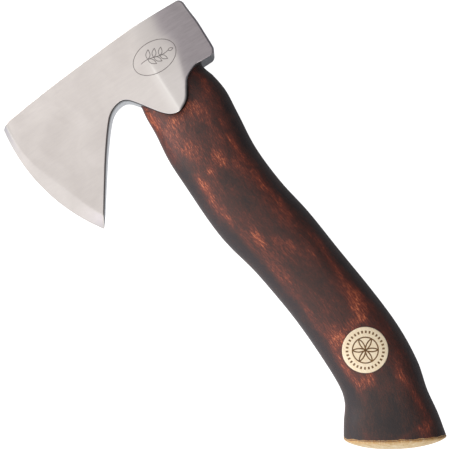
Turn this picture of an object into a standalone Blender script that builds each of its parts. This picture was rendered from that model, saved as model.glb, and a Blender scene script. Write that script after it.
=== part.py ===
"""Carving hatchet: a bearded steel head on a stained birch handle.

The design frame has X along the eye, from the top of the head to the butt, Y from the
cutting edge towards the poll, and Z out of the side that carries the badge.  Z = 0 is the
mid-plane.  The hatchet lies on its side: one empty carries every piece and puts the world
origin under the middle of it, on the surface that it lies on.
"""
import math

import bmesh
import bpy
import numpy as np
from mathutils import Matrix, Vector

MM = 0.001                       # every size below is in millimetres
GAP = 0.3                        # space left between pieces that touch

# --- head -----------------------------------------------------------------------------
HALF_CREST = 13.5                # half thickness beside the eye, the thickest place
CREST_FRONT = -3.0               # the level crest lies between these two Y values
CREST_REAR = 6.3
BLADE_TAPER = 0.152              # half thickness lost per mm from the crest to the edge
POLL_TAPER = 0.115               # and per mm from the crest to the poll face
TOP_X = 1.4                      # flat top of the head
POLL_Y = 27.0                    # flat poll face
UNDERSIDE_X = 33.0               # lower face of the poll
POLL_CORNER = 3.0                # radius of the poll's two corners

# Upper border of the blade, from the flat top down to the toe and a little past it.
TOP_BORDER = [(TOP_X, -10), (2.4, -35), (3.6, -55), (5.2, -73), (6.4, -80), (11.5, -87)]
# Lower border, from the poll round the lug, under the arch and along the beard.
LUG_AND_BEARD = [(UNDERSIDE_X, 14.5), (35.9, 8.9), (40.2, 6.3), (44.9, 3.3), (47.6, -0.6), (48.2, -4.4),
                 (46.8, -8.3), (43.4, -11.8), (38.5, -15.4), (33, -19.3), (29.2, -22.9), (28.4, -27),
                 (30.2, -32), (34.7, -36.8), (46.5, -45.9), (60.9, -55.8), (76.5, -66.3), (80.5, -69.2)]
PAST_THE_EDGE = [(78, -78), (40, -90)]  # closes the blank outside the ground edge

EDGE_CENTRE = (22.3, 9.2)        # the cutting edge is one arc about this point
EDGE_RADIUS = 93.2
EDGE_SLOPE = 0.42                # half thickness gained per mm from the edge, on the bevel
EDGE_LAND = 0.1                  # half thickness left at the very edge
EDGE_STEPS = 240

# --- handle ---------------------------------------------------------------------------
# One section a row: its front point, its rear point and its half thickness.  Sections lean
# over towards the butt, so the end is square to the flare there.
SECTIONS = [
    ((1.5, -17.6), (1.5, 17.6), 9.3),        # tenon, flush with the top of the head
    ((15.0, -17.5), (15.0, 17.5), 8.9),      # waist of the eye
    ((33.0, -18.3), (33.0, 18.3), 9.6),      # mouth of the eye
    ((41.0, -19.2), (41.0, 20.5), 10.0),
    ((51.0, -19.6), (51.0, 21.8), 10.5),
    ((66.0, -21.1), (64.0, 20.7), 11.6),
    ((82.0, -20.7), (82.0, 19.3), 12.3),     # narrowest place of the back
    ((104.0, -19.7), (103.0, 21.0), 12.7),
    ((118.0, -17.9), (122.0, 24.4), 12.9),
    ((136.0, -13.6), (143.0, 27.0), 13.0),
    ((160.0, -10.0), (170.0, 30.5), 13.1),
    ((183.0, -8.5), (195.0, 32.4), 13.2),
    ((204.0, -8.2), (215.0, 31.5), 13.1),    # neck before the flare
    ((214.0, -10.4), (230.0, 28.0), 12.9),
    ((222.0, -16.0), (243.0, 26.2), 13.1),
    ((229.3, -20.6), (254.6, 23.9), 13.5),   # rim of the butt
]
STEPS_PER_SECTION = 3
ROUNDNESS = 2.3                  # power of the oval section: 2 is an ellipse
AROUND = 40                      # points around a section
DOME_RISE = 5.5                  # how far the butt end bulges past its rim
DOME_SCALES = (0.97, 0.88, 0.72, 0.5, 0.25)
DOME_POWER = 0.7
EYE_LENGTH = 54.0                # the eye cutter reaches past the lugs

# --- wedges ---------------------------------------------------------------------------
WEDGE_TOP = 3.4                  # wooden wedge: thickness at the top and at the tip
WEDGE_TIP = 0.8
WEDGE_DEPTH = 25.0
WEDGE_HALF_WIDTH = 16.9
KERF_HALF_WIDTH = 24.0           # the kerf runs out through both ends of the tenon
STEEL_TOP = 2.4                  # steel wedge, set across the wooden one
STEEL_TIP = 0.8
STEEL_DEPTH = 17.0
STEEL_HALF_WIDTH = 6.5

# --- badge ----------------------------------------------------------------------------
BADGE_CENTRE = (195.0, 11.5)
BADGE_RADIUS = 11.3
BADGE_FLOOR = 9.6                # height of its underside above the mid-plane
BADGE_STEPS = 48


# --- helpers --------------------------------------------------------------------------
def new_collection(name):
    group = bpy.data.collections.new(name)
    bpy.context.scene.collection.children.link(group)
    return group


def through(points, steps):
    """A smooth curve through the points (Catmull-Rom), with so many steps between two."""
    knots = np.asarray(points, float)
    knots = np.vstack([2 * knots[0] - knots[1], knots, 2 * knots[-1] - knots[-2]])
    t = np.linspace(0, 1, steps, endpoint=False)[:, None]
    parts = []
    for a, b, c, d in zip(knots, knots[1:], knots[2:], knots[3:]):
        parts.append(0.5 * (2 * b + (c - a) * t + (2 * a - 5 * b + 4 * c - d) * t**2
                            + (3 * b - a - 3 * c + d) * t**3))
    return np.vstack(parts + [knots[-2][None]])


def arc(centre, radius, start, end, steps):
    """Points on an arc, from one angle in degrees to the other."""
    angle = np.radians(np.linspace(start, end, steps))
    return np.stack([centre[0] + radius * np.cos(angle), centre[1] + radius * np.sin(angle)], 1)


def as_mesh(obj, group):
    """Turn a curve or a modified object into a plain mesh object in the same place."""
    bpy.context.view_layer.update()
    evaluated = obj.evaluated_get(bpy.context.evaluated_depsgraph_get())
    mesh = bpy.data.meshes.new_from_object(evaluated)
    mesh.transform(obj.matrix_world)
    work = bmesh.new()
    work.from_mesh(mesh)
    bmesh.ops.remove_doubles(work, verts=work.verts, dist=0.01 * MM)
    bmesh.ops.recalc_face_normals(work, faces=work.faces)
    work.to_mesh(mesh)
    work.free()
    name = obj.name
    bpy.data.objects.remove(obj)
    solid = bpy.data.objects.new(name, mesh)
    group.objects.link(solid)
    return solid


def plate(name, outline, half_thickness, group, turn=(0, 0, 0)):
    """A flat outline in millimetres, thickened both ways, then turned."""
    curve = bpy.data.curves.new(name, "CURVE")
    curve.dimensions = "2D"
    curve.fill_mode = "BOTH"
    curve.extrude = half_thickness * MM
    spline = curve.splines.new("POLY")
    spline.points.add(len(outline) - 1)
    for point, (x, y) in zip(spline.points, outline):
        point.co = (x * MM, y * MM, 0, 1)
    spline.use_cyclic_u = True
    obj = bpy.data.objects.new(name, curve)
    obj.rotation_euler = [math.radians(angle) for angle in turn]
    group.objects.link(obj)
    return as_mesh(obj, group)


def loft(name, rings, group):
    """Skin a list of rings of equal length, with a flat face over each end."""
    work = bmesh.new()
    rows = [[work.verts.new(Vector(point) * MM) for point in ring] for ring in rings]
    count = len(rows[0])
    for lower, upper in zip(rows, rows[1:]):
        for i in range(count):
            j = (i + 1) % count
            work.faces.new((lower[i], lower[j], upper[j], upper[i]))
    work.faces.new(rows[0][::-1])
    work.faces.new(rows[-1])
    bmesh.ops.recalc_face_normals(work, faces=work.faces)
    mesh = bpy.data.meshes.new(name)
    work.to_mesh(mesh)
    work.free()
    obj = bpy.data.objects.new(name, mesh)
    group.objects.link(obj)
    return obj


def boolean(obj, operation, tool):
    modifier = obj.modifiers.new(tool.name, "BOOLEAN")
    modifier.operation = operation
    modifier.object = tool


def finish_material(obj, colour, roughness, metallic):
    material = bpy.data.materials.new(obj.name)
    material.use_nodes = True
    shader = material.node_tree.nodes["Principled BSDF"]
    shader.inputs["Base Color"].default_value = (*colour, 1)
    shader.inputs["Roughness"].default_value = roughness
    shader.inputs["Metallic"].default_value = metallic
    obj.data.materials.clear()
    obj.data.materials.append(material)


# --- head -----------------------------------------------------------------------------
def head_outline():
    """Side view of the forging, past the line where the edge is ground."""
    corner = POLL_CORNER
    upper = arc((TOP_X + corner, POLL_Y - corner), corner, 90, 180, 7)
    lower = arc((UNDERSIDE_X - corner, POLL_Y - corner), corner, 0, 90, 7)
    border = through(TOP_BORDER, 6)
    lug = through(LUG_AND_BEARD, 6)
    return np.vstack([upper, border, PAST_THE_EDGE[::-1], lug[::-1], lower])


def cheek_profile():
    """The head seen along the eye: level crest, flat tapers to the edge and to the poll."""
    past_edge = -90.0
    past_poll = 30.0
    half_edge = HALF_CREST - BLADE_TAPER * (CREST_FRONT - past_edge)
    half_poll = HALF_CREST - POLL_TAPER * (past_poll - CREST_REAR)
    side = [(past_poll, half_poll), (CREST_REAR, HALF_CREST), (CREST_FRONT, HALF_CREST), (past_edge, half_edge)]
    return side + [(y, -z) for y, z in side[::-1]]


def edge_form(group):
    """A turned double cone about the centre of the edge arc, which grinds both bevels."""
    height = 16.0
    inner = EDGE_RADIUS - (height - EDGE_LAND) / EDGE_SLOPE
    profile = [(0, height), (inner, height), (EDGE_RADIUS, EDGE_LAND),
               (EDGE_RADIUS, -EDGE_LAND), (inner, -height), (0, -height)]
    mesh = bpy.data.meshes.new("edge_form")
    mesh.from_pydata([(r * MM, 0, z * MM) for r, z in profile], [(i, i + 1) for i in range(5)], [])
    obj = bpy.data.objects.new("edge_form", mesh)
    obj.location = (EDGE_CENTRE[0] * MM, EDGE_CENTRE[1] * MM, 0)
    group.objects.link(obj)
    turn = obj.modifiers.new("turn", "SCREW")
    turn.steps = turn.render_steps = EDGE_STEPS
    turn.use_merge_vertices = True
    turn.merge_threshold = 0.01 * MM
    return as_mesh(obj, group)


def make_head(parts, cutters, eye):
    head = plate("axe_head", head_outline(), 20.0, parts)
    # The curve's own axes are turned so that its first runs along Y and its second along Z.
    cheeks = plate("cheek_form", cheek_profile(), 120.0, cutters, turn=(90, 0, 90))
    boolean(head, "INTERSECT", cheeks)
    boolean(head, "INTERSECT", edge_form(cutters))
    boolean(head, "DIFFERENCE", eye)
    finish_material(head, (0.62, 0.60, 0.58), 0.32, 1.0)
    return head


# --- handle ---------------------------------------------------------------------------
def section_rows(last_x=None):
    """Smooth rows of front X, front Y, rear X, rear Y and half thickness along the handle."""
    rows = through([(*front, *rear, half) for front, rear, half in SECTIONS], STEPS_PER_SECTION)
    return rows if last_x is None else rows[rows[:, 0] < last_x]


def ring(row, grow=0.0):
    """One oval section across the handle, grown outwards by so much."""
    front, rear, half = row[0:2], row[2:4], row[4] + grow
    middle = (front + rear) / 2
    reach = (rear - front) / 2
    reach = reach * (1 + grow / np.hypot(*reach))
    angle = np.arange(AROUND) * 2 * np.pi / AROUND
    across = np.sign(np.cos(angle)) * np.abs(np.cos(angle)) ** (2 / ROUNDNESS)
    up = np.sign(np.sin(angle)) * np.abs(np.sin(angle)) ** (2 / ROUNDNESS)
    flat = middle + across[:, None] * reach
    return np.column_stack([flat, half * up])


def handle_rings():
    rows = section_rows()
    rings = [ring(row) for row in rows]
    rim = rings[-1]
    front, rear = rows[-1][0:2], rows[-1][2:4]
    middle = np.array([*(front + rear) / 2, 0])
    along = (rear - front) / np.hypot(*(rear - front))
    outward = np.array([along[1], -along[0], 0])
    for scale in DOME_SCALES:
        rise = DOME_RISE * (1 - scale**2) ** DOME_POWER
        rings.append(middle + (rim - middle) * scale + outward * rise)
    return rings


def eye_form(group):
    """The handle's own sections with the gap added, run out above the head."""
    rows = section_rows(EYE_LENGTH)
    above = rows[0].copy()
    above[[0, 2]] -= 6.0
    rings = [ring(above, GAP)] + [ring(row, GAP) for row in rows]
    return loft("eye_form", rings, group)


def wedge_outline(top, tip, depth, gap=0.0):
    """A wedge from the top of the tenon down, as (depth, thickness) corners."""
    start = SECTIONS[0][0][0] - (5.0 if gap else 0.0)
    end = SECTIONS[0][0][0] + depth + gap
    half_top = top / 2 + gap
    half_tip = tip / 2 + gap
    return [(start, -half_top), (end, -half_tip), (end, half_tip), (start, half_top)]


def make_handle(parts, kerf, slot, pocket):
    handle = loft("handle", handle_rings(), parts)
    boolean(handle, "DIFFERENCE", kerf)
    boolean(handle, "DIFFERENCE", slot)
    boolean(handle, "DIFFERENCE", pocket)
    finish_material(handle, (0.055, 0.022, 0.015), 0.42, 0.0)
    return handle


def make_eye_wedge(parts, slot):
    outline = wedge_outline(WEDGE_TOP, WEDGE_TIP, WEDGE_DEPTH)
    wedge = plate("eye_wedge", outline, WEDGE_HALF_WIDTH, parts, turn=(90, 0, 0))
    boolean(wedge, "DIFFERENCE", slot)
    finish_material(wedge, (0.62, 0.42, 0.22), 0.55, 0.0)
    return wedge


def make_steel_wedge(parts):
    outline = wedge_outline(STEEL_TOP, STEEL_TIP, STEEL_DEPTH)
    wedge = plate("steel_wedge", outline, STEEL_HALF_WIDTH, parts)
    finish_material(wedge, (0.45, 0.45, 0.46), 0.38, 1.0)
    return wedge


# --- badge ----------------------------------------------------------------------------
def round_form(name, radius, floor, group):
    """A round bar standing up from the given height, over the middle of the badge."""
    height = 12.0
    mesh = bpy.data.meshes.new(name)
    work = bmesh.new()
    bmesh.ops.create_cone(work, cap_ends=True, segments=BADGE_STEPS, radius1=radius * MM,
                          radius2=radius * MM, depth=height * MM)
    work.to_mesh(mesh)
    work.free()
    middle = Vector((*BADGE_CENTRE, floor + height / 2))
    mesh.transform(Matrix.Translation(middle * MM))
    obj = bpy.data.objects.new(name, mesh)
    group.objects.link(obj)
    return obj


def make_badge(parts, cutters):
    """A plug that is sanded flush, so its face is the handle's own surface."""
    badge = round_form("badge", BADGE_RADIUS, BADGE_FLOOR, parts)
    boolean(badge, "INTERSECT", loft("handle_form", handle_rings(), cutters))
    finish_material(badge, (0.86, 0.76, 0.58), 0.5, 0.0)
    return badge


# --- assembly -------------------------------------------------------------------------
def lay_on_its_side(frame, pieces):
    """Move the carrying empty so that the origin is under the middle of the hatchet."""
    bpy.context.view_layer.update()
    depsgraph = bpy.context.evaluated_depsgraph_get()
    corners = [Vector(corner) for piece in pieces for corner in piece.evaluated_get(depsgraph).bound_box]
    low = [min(corner[axis] for corner in corners) for axis in range(3)]
    high = [max(corner[axis] for corner in corners) for axis in range(3)]
    frame.location = (-(low[0] + high[0]) / 2, -(low[1] + high[1]) / 2, -low[2])


def main():
    for obj in list(bpy.data.objects):
        bpy.data.objects.remove(obj, do_unlink=True)
    parts = new_collection("carving_hatchet")
    cutters = new_collection("carving_hatchet_cutters")

    eye = eye_form(cutters)
    kerf = plate("kerf_form", wedge_outline(WEDGE_TOP, WEDGE_TIP, WEDGE_DEPTH, GAP),
                 KERF_HALF_WIDTH, cutters, turn=(90, 0, 0))
    slot = plate("slot_form", wedge_outline(STEEL_TOP, STEEL_TIP, STEEL_DEPTH, GAP),
                 STEEL_HALF_WIDTH + GAP, cutters)
    pocket = round_form("pocket_form", BADGE_RADIUS + GAP, BADGE_FLOOR - GAP, cutters)

    pieces = [
        make_head(parts, cutters, eye),
        make_handle(parts, kerf, slot, pocket),
        make_eye_wedge(parts, slot),
        make_steel_wedge(parts),
        make_badge(parts, cutters),
    ]
    frame = bpy.data.objects.new("hatchet_frame", None)
    parts.objects.link(frame)
    for obj in [*parts.objects, *cutters.objects]:
        if obj is not frame:
            obj.parent = frame
    for cutter in cutters.objects:
        cutter.hide_render = True
        cutter.display_type = "WIRE"
    lay_on_its_side(frame, pieces)
    for piece in pieces:
        piece.data.shade_smooth()
        piece.data.set_sharp_from_angle(angle=math.radians(30))


main()
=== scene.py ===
# %% [markdown]
# # A carving hatchet, piece by piece
#
# This notebook dresses a finished model of a small carving hatchet.  The model gives every
# piece its true size and place.  Here each piece gets its fine surface, and its steel or wood.
#
# Every shape below is a surface worked out with numpy: a formula of two parameters, or a
# profile carried along a path.  The formula is in the docstring of the function.

import math

import bmesh
import bpy
import numpy as np
from mathutils import Matrix, Vector


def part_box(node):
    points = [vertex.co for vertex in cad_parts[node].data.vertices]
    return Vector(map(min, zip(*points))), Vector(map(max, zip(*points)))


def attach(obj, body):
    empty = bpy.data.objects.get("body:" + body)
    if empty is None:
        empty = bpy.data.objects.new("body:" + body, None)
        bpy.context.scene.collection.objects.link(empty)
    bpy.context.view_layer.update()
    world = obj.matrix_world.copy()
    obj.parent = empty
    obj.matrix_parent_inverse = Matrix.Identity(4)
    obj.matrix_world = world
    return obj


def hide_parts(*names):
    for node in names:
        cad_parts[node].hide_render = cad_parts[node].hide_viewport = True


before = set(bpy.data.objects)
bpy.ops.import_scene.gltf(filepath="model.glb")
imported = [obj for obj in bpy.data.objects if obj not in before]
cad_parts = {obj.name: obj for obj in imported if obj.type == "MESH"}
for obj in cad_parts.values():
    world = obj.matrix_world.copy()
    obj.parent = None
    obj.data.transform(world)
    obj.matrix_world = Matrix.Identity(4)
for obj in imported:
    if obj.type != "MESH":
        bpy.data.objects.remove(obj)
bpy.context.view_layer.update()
print("nodes:", sorted(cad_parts))

# %% [markdown]
# ## One set of axes for the whole tool
#
# A hatchet is easiest to describe from its eye, the hole that the handle goes through.  So the
# numbers below are millimetres in the maker's own axes.  X runs along the eye, from the top of
# the head to the butt.  Y runs from the cutting edge to the poll, the blunt back of the head.
# Z comes out of the side that carries the badge, and Z = 0 is the middle of the thickness.
# The box of the model's head tells where those axes lie in the scene.

# %% The maker's axes
MM = 0.001
TOP_X = 1.4            # flat top of the head
POLL_Y = 27.0          # flat back of the poll

head_low, head_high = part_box("axe_head")
ORIGIN = np.array([head_low.x - TOP_X * MM, head_high.y - POLL_Y * MM, (head_low.z + head_high.z) / 2])


def to_scene(points):
    """From the maker's millimetres to the scene: scale to metres, then shift to the head's place."""
    return np.asarray(points, float) * MM + ORIGIN


def to_maker(points):
    """The way back: subtract the head's place, then scale to millimetres."""
    return (np.asarray(points, float) - ORIGIN) / MM


print("the maker's origin in the scene, in mm:", np.round(ORIGIN / MM, 2))

# %% [markdown]
# ## Tools for surfaces
#
# A grid of points becomes a mesh when each little square of neighbours becomes a face.  A
# piece is often several grids that share their borders, so the last step merges the points
# that coincide.  The faces are then turned outwards, and only the corners that are really
# sharp are kept sharp when the piece is shaded smooth.
#
# Blender's ready shapes and modifiers would be quicker to start with.  A grid is chosen
# because it follows a formula exactly, and whole grids are worked out in one go.

# %% Faces of a grid
def squares(rows, columns, round_trip=False):
    """The four corners of each face of a grid; a round trip also joins the last row to the first."""
    row = np.arange(rows if round_trip else rows - 1)[:, None]
    column = np.arange(columns - 1)[None, :]
    after = (row + 1) % rows
    faces = [row * columns + column, after * columns + column,
             after * columns + column + 1, row * columns + column + 1]
    return np.stack([np.broadcast_to(face, (len(row), columns - 1)) for face in faces], -1).reshape(-1, 4)


def mirrored(grid):
    """The same grid on the other side of the mid-plane."""
    return grid * np.array([1, 1, -1])


print("faces of a grid of 3 by 4 points:", len(squares(3, 4)))

# %% Grids to a piece
MERGE = 2e-7           # points closer than this, in metres, are one point
SHARP = math.radians(38)


def tidy(mesh):
    """Merge the points that coincide, drop faces without area, and turn the rest outwards."""
    work = bmesh.new()
    work.from_mesh(mesh)
    bmesh.ops.remove_doubles(work, verts=work.verts, dist=MERGE)
    bmesh.ops.dissolve_degenerate(work, edges=work.edges, dist=MERGE)
    bmesh.ops.recalc_face_normals(work, faces=work.faces)
    work.to_mesh(mesh)
    work.free()
    mesh.shade_smooth()
    mesh.set_sharp_from_angle(angle=SHARP)


def add(name, data):
    """A new object in the scene, at the origin, unturned and unscaled."""
    obj = bpy.data.objects.new(name, data)
    bpy.context.scene.collection.objects.link(obj)
    return obj


def skin(name, grids):
    """One closed piece from a list of (grid, round trip), with points in the maker's millimetres."""
    points, faces, start = [], [], 0
    for grid, round_trip in grids:
        rows, columns = grid.shape[:2]
        points.append(grid.reshape(-1, 3))
        faces.append(squares(rows, columns, round_trip) + start)
        start += rows * columns
    points, faces = to_scene(np.vstack(points)), np.vstack(faces)
    mesh = bpy.data.meshes.new(name)
    mesh.vertices.add(len(points))
    mesh.vertices.foreach_set("co", points.astype(np.float32).ravel())
    mesh.loops.add(faces.size)
    mesh.loops.foreach_set("vertex_index", faces.astype(np.int32).ravel())
    mesh.polygons.add(len(faces))
    mesh.polygons.foreach_set("loop_start", (np.arange(len(faces)) * 4).astype(np.int32))
    mesh.update(calc_edges=True)
    tidy(mesh)
    print(f"{name}: {len(mesh.polygons)} faces")
    return add(name, mesh)


print("points closer than", MERGE * 1000, "mm are merged")

# %% [markdown]
# ## Smooth lines from a few points
#
# The outline of a forging is a line that runs smoothly through a few chosen points.  The
# Catmull-Rom curve does that: between two points it is a cubic whose slope at each point is
# half the step from the point before to the point after.

# %% Curves
def through(points, steps):
    """Catmull-Rom: each stretch is a cubic in t, with the slope at a point taken from its neighbours."""
    knots = np.asarray(points, float)
    knots = np.vstack([2 * knots[0] - knots[1], knots, 2 * knots[-1] - knots[-2]])
    t = np.linspace(0, 1, steps, endpoint=False)[:, None]
    a, b, c, d = (knots[i:len(knots) - 3 + i][:, None] for i in range(4))
    cubic = (2 * b + (c - a) * t + (2 * a - 5 * b + 4 * c - d) * t**2
             + (3 * b - a - 3 * c + d) * t**3) / 2
    return np.vstack([cubic.reshape(-1, knots.shape[1]), knots[-2][None]])


def soft_min(fields, blend):
    """The lowest of several heights, rounded where two meet: -k log(sum of exp(-height / k))."""
    lowest = np.minimum.reduce(fields)
    return lowest - blend * np.log(sum(np.exp(-(field - lowest) / blend) for field in fields))


def ease(t):
    """0 before t = 0, 1 after t = 1, and a smooth climb 3t^2 - 2t^3 between."""
    t = np.clip(t, 0, 1)
    return t * t * (3 - 2 * t)


print("ease at 0, 0.25, 0.5 and 1:", ease(np.array([0, 0.25, 0.5, 1])).round(3))

# %% [markdown]
# ## The handle's sections
#
# A handle is shaped by eye, so it is described by a few cross-sections.  Each one is an oval
# that stands on a line from the front edge of the handle to its back edge.  Near the butt the
# lines lean over, and that turns the end of the handle square to its flare.  The oval is a
# superellipse, |across|^n + |up|^n = 1, a little fuller than an ellipse.
#
# A bevelled curve makes tubes like this too, but its section keeps one shape.  A table of
# sections lets the grip swell, thin out and lean wherever the hand wants it.

# %% Sections
SECTIONS = [
    # front x, front y, rear x, rear y, half thickness
    (1.5, -17.6, 1.5, 17.6, 9.3),        # tenon, level with the top of the head
    (15.0, -17.5, 15.0, 17.5, 8.9),      # waist of the eye
    (33.0, -18.3, 33.0, 18.3, 9.6),      # mouth of the eye
    (41.0, -19.2, 41.0, 20.5, 10.0),
    (51.0, -19.6, 51.0, 21.8, 10.5),
    (66.0, -21.1, 64.0, 20.7, 11.6),
    (82.0, -20.7, 82.0, 19.3, 12.3),     # narrowest place of the back
    (104.0, -19.7, 103.0, 21.0, 12.7),
    (118.0, -17.9, 122.0, 24.4, 12.9),
    (136.0, -13.6, 143.0, 27.0, 13.0),
    (160.0, -10.0, 170.0, 30.5, 13.1),
    (183.0, -8.5, 195.0, 32.4, 13.2),
    (204.0, -8.2, 215.0, 31.5, 13.1),    # neck before the flare
    (214.0, -10.4, 230.0, 28.0, 12.9),
    (222.0, -16.0, 243.0, 26.2, 13.1),
    (229.3, -20.6, 254.6, 23.9, 13.5),   # rim of the butt
]
ROUNDNESS = 2.3
ROWS = through(SECTIONS, 24)
EYE_ROWS = ROWS[ROWS[:, 0] < 52]         # here the sections stand square to X


def power(value, exponent):
    """A power that keeps the sign."""
    return np.sign(value) * np.abs(value) ** exponent


def section_at(x, grow):
    """Middle, half width and half thickness of the eye's sections at x, grown by a clearance."""
    front, rear, half = (np.interp(x, EYE_ROWS[:, 0], EYE_ROWS[:, i]) for i in (1, 3, 4))
    return (front + rear) / 2, (rear - front) / 2 + grow, half + grow


print("sections along the handle:", len(ROWS))

# %% [markdown]
# ## The steel head: its outline
#
# Seen from the side, every line across the head meets the outline twice: once on the upper
# border, from the poll to the toe, and once on the lower border, from the poll round the lug,
# under the arch and along the beard to the heel.  So each border is simply x as a function of
# y.  The cutting edge that joins toe and heel is a single arc.

# %% Outline of the head
UNDERSIDE_X = 33.0
POLL_CORNER = 3.0
UPPER = through([(TOP_X, 24), (TOP_X, 5), (TOP_X, -10), (2.4, -35), (3.6, -55), (5.2, -73),
                 (6.4, -80), (11.5, -87)], 40)
LOWER = through([(UNDERSIDE_X, 24), (UNDERSIDE_X, 19), (UNDERSIDE_X, 14.5), (35.9, 8.9), (40.2, 6.3),
                 (44.9, 3.3), (47.6, -0.6), (48.2, -4.4), (46.8, -8.3), (43.4, -11.8), (38.5, -15.4),
                 (33, -19.3), (29.2, -22.9), (28.4, -27), (30.2, -32), (34.7, -36.8), (46.5, -45.9),
                 (60.9, -55.8), (76.5, -66.3), (80.5, -69.2)], 40)
EDGE_CENTRE = np.array([22.3, 9.2])
EDGE_RADIUS = 93.2


def border(line, y, corner_x, side):
    """x on a border at height y: the curve itself, and near the poll a quarter circle."""
    x = np.interp(-y, -line[:, 1], line[:, 0])
    lift = np.clip(y - (POLL_Y - POLL_CORNER), 0, POLL_CORNER)
    corner = corner_x - side * (POLL_CORNER - np.sqrt(POLL_CORNER**2 - lift**2))
    return np.where(lift > 0, corner, x)


def upper_x(y):
    """x of the upper border at height y."""
    return border(UPPER, y, TOP_X, -1)


def lower_x(y):
    """x of the lower border at height y."""
    return border(LOWER, y, UNDERSIDE_X, 1)


def edge_meets(line_x, low, high):
    """The y where a border reaches the edge arc, found by halving the interval."""
    for _ in range(50):
        y = (low + high) / 2
        inside = math.hypot(line_x(y) - EDGE_CENTRE[0], y - EDGE_CENTRE[1]) < EDGE_RADIUS
        low, high = (low, y) if inside else (y, high)
    return y


TOE_Y = float(edge_meets(upper_x, -87, -75))
HEEL_Y = float(edge_meets(lower_x, -69, -60))
print(f"toe at y = {TOE_Y:.1f}, heel at y = {HEEL_Y:.1f}")

# %% [markdown]
# ## The steel head: its thickness
#
# The head is thickest beside the eye, where a level crest runs down into the lug.  In front
# of the crest the cheek falls away in a long flat plane to the edge, and behind it in a
# steeper, shorter plane to the poll.  Close to the edge a third, much steeper plane takes
# over: the ground bevel.  The half thickness is the lowest of all these, with the meeting
# lines a little softened, crisp on the lug and soft near the top.
#
# Flat cuts through a block would give the same planes, but razor-sharp lines between them.
# A soft minimum of heights rounds each line by as much as the polishing wheel did.

# %% Thickness of the head
HALF_CREST = 13.5
CREST_FRONT = -3.6
CREST_REAR = through([(0, 10.5), (9, 8.8), (19, 11.0), (28, 9.3), (38.6, 5.9), (50, 2)], 12)
BLADE_TAPER = 0.152
POLL_TAPER = 0.115
EDGE_LAND = 0.06
BEVEL_MIDDLE, BEVEL_ENDS = 0.38, 0.36   # slope of the bevel, and what its two ends add


def half_thickness(x, y):
    """Lowest of: blade plane, level crest, poll plane and the bevel, which rises from the edge."""
    blade = HALF_CREST + BLADE_TAPER * (y - CREST_FRONT)
    poll = HALF_CREST - POLL_TAPER * (y - np.interp(x, *CREST_REAR.T))
    blend = 0.04 + 0.2 * ease((30 - x) / 22)
    body = soft_min([blade, np.full_like(blade, HALF_CREST), poll], blend)
    away = np.hypot(x - EDGE_CENTRE[0], y - EDGE_CENTRE[1])
    turn = np.degrees(np.arctan2(y - EDGE_CENTRE[1], x - EDGE_CENTRE[0]))
    along = np.clip((turn + 76.4) / 22, -1.2, 1.2)
    slope = BEVEL_MIDDLE + BEVEL_ENDS * along**2
    bevel = EDGE_LAND + slope * np.maximum(EDGE_RADIUS - away, 0)
    return soft_min([body, bevel], 0.05)


print("half thickness at the poll, crest and beard:",
      np.round(half_thickness(np.array([15.0, 15.0, 40.0]), np.array([26.0, 1.0, -42.0])), 2))

# %% [markdown]
# ## The steel head: one closed surface
#
# Three kinds of grid make the head.
#
# 1. A *wall* follows the whole outline.  At each point of it a small profile climbs from the
#    middle of the thickness, and rolls over the rounded arris onto the cheek.
# 2. A *cheek* fills the inside of that outline.  It is a Coons patch, the classic way to fill
#    four curved borders: one ruled surface between the upper and the lower border, plus
#    what the poll and the edge add to it.
# 3. The *eye* lines the hole, from the top of the head to the mouth between the lugs.
#
# Where the eye breaks through the wall, the profile starts at the eye's own height instead
# of at the middle, so the hole is really there.  One half is computed, and its mirror image
# closes it.

# %% Points along the borders
EYE_STEPS, BLADE_STEPS, ACROSS = 56, 118, 132
POLL_STEPS = 9         # points along the poll's corner, and again along its shoulder
CLEARANCE = 0.05       # between the steel and the wood
EYE_ANGLE = np.linspace(0, math.pi, EYE_STEPS + 1)


def eye_point(x):
    """y and z of the eye's upper half at x, for each angle from the poll side to the blade side."""
    middle, wide, thick = section_at(x, CLEARANCE)
    return (middle + wide * power(np.cos(EYE_ANGLE), 2 / ROUNDNESS),
            thick * np.abs(np.sin(EYE_ANGLE)) ** (2 / ROUNDNESS))


def mouth(line_x):
    """Where each line of the eye meets a border: x and y agree after a few rounds of trying."""
    x = line_x(np.zeros(EYE_STEPS + 1))
    for _ in range(40):
        y, z = eye_point(x)
        x = 0.5 * x + 0.5 * line_x(y)
    return x, y, z


def border_points(line_x, end_y):
    """One border from the poll to the edge, and the height at which its wall starts."""
    mouth_x, mouth_y, mouth_z = mouth(line_x)
    corner = POLL_Y - POLL_CORNER + POLL_CORNER * np.cos(np.linspace(0, math.pi / 2, POLL_STEPS + 1)[:-1])
    shoulder = np.linspace(POLL_Y - POLL_CORNER, mouth_y[0], POLL_STEPS + 1)[:-1]
    blade = np.linspace(mouth_y[-1], end_y, BLADE_STEPS + 1)[1:]
    y = np.concatenate([corner, shoulder, mouth_y, blade])
    start = np.concatenate([np.zeros(2 * POLL_STEPS), mouth_z, np.zeros(BLADE_STEPS)])
    start[[2 * POLL_STEPS, 2 * POLL_STEPS + EYE_STEPS]] = 0
    return np.stack([line_x(y), y], 1), start, (mouth_x, mouth_y, mouth_z)


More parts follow.
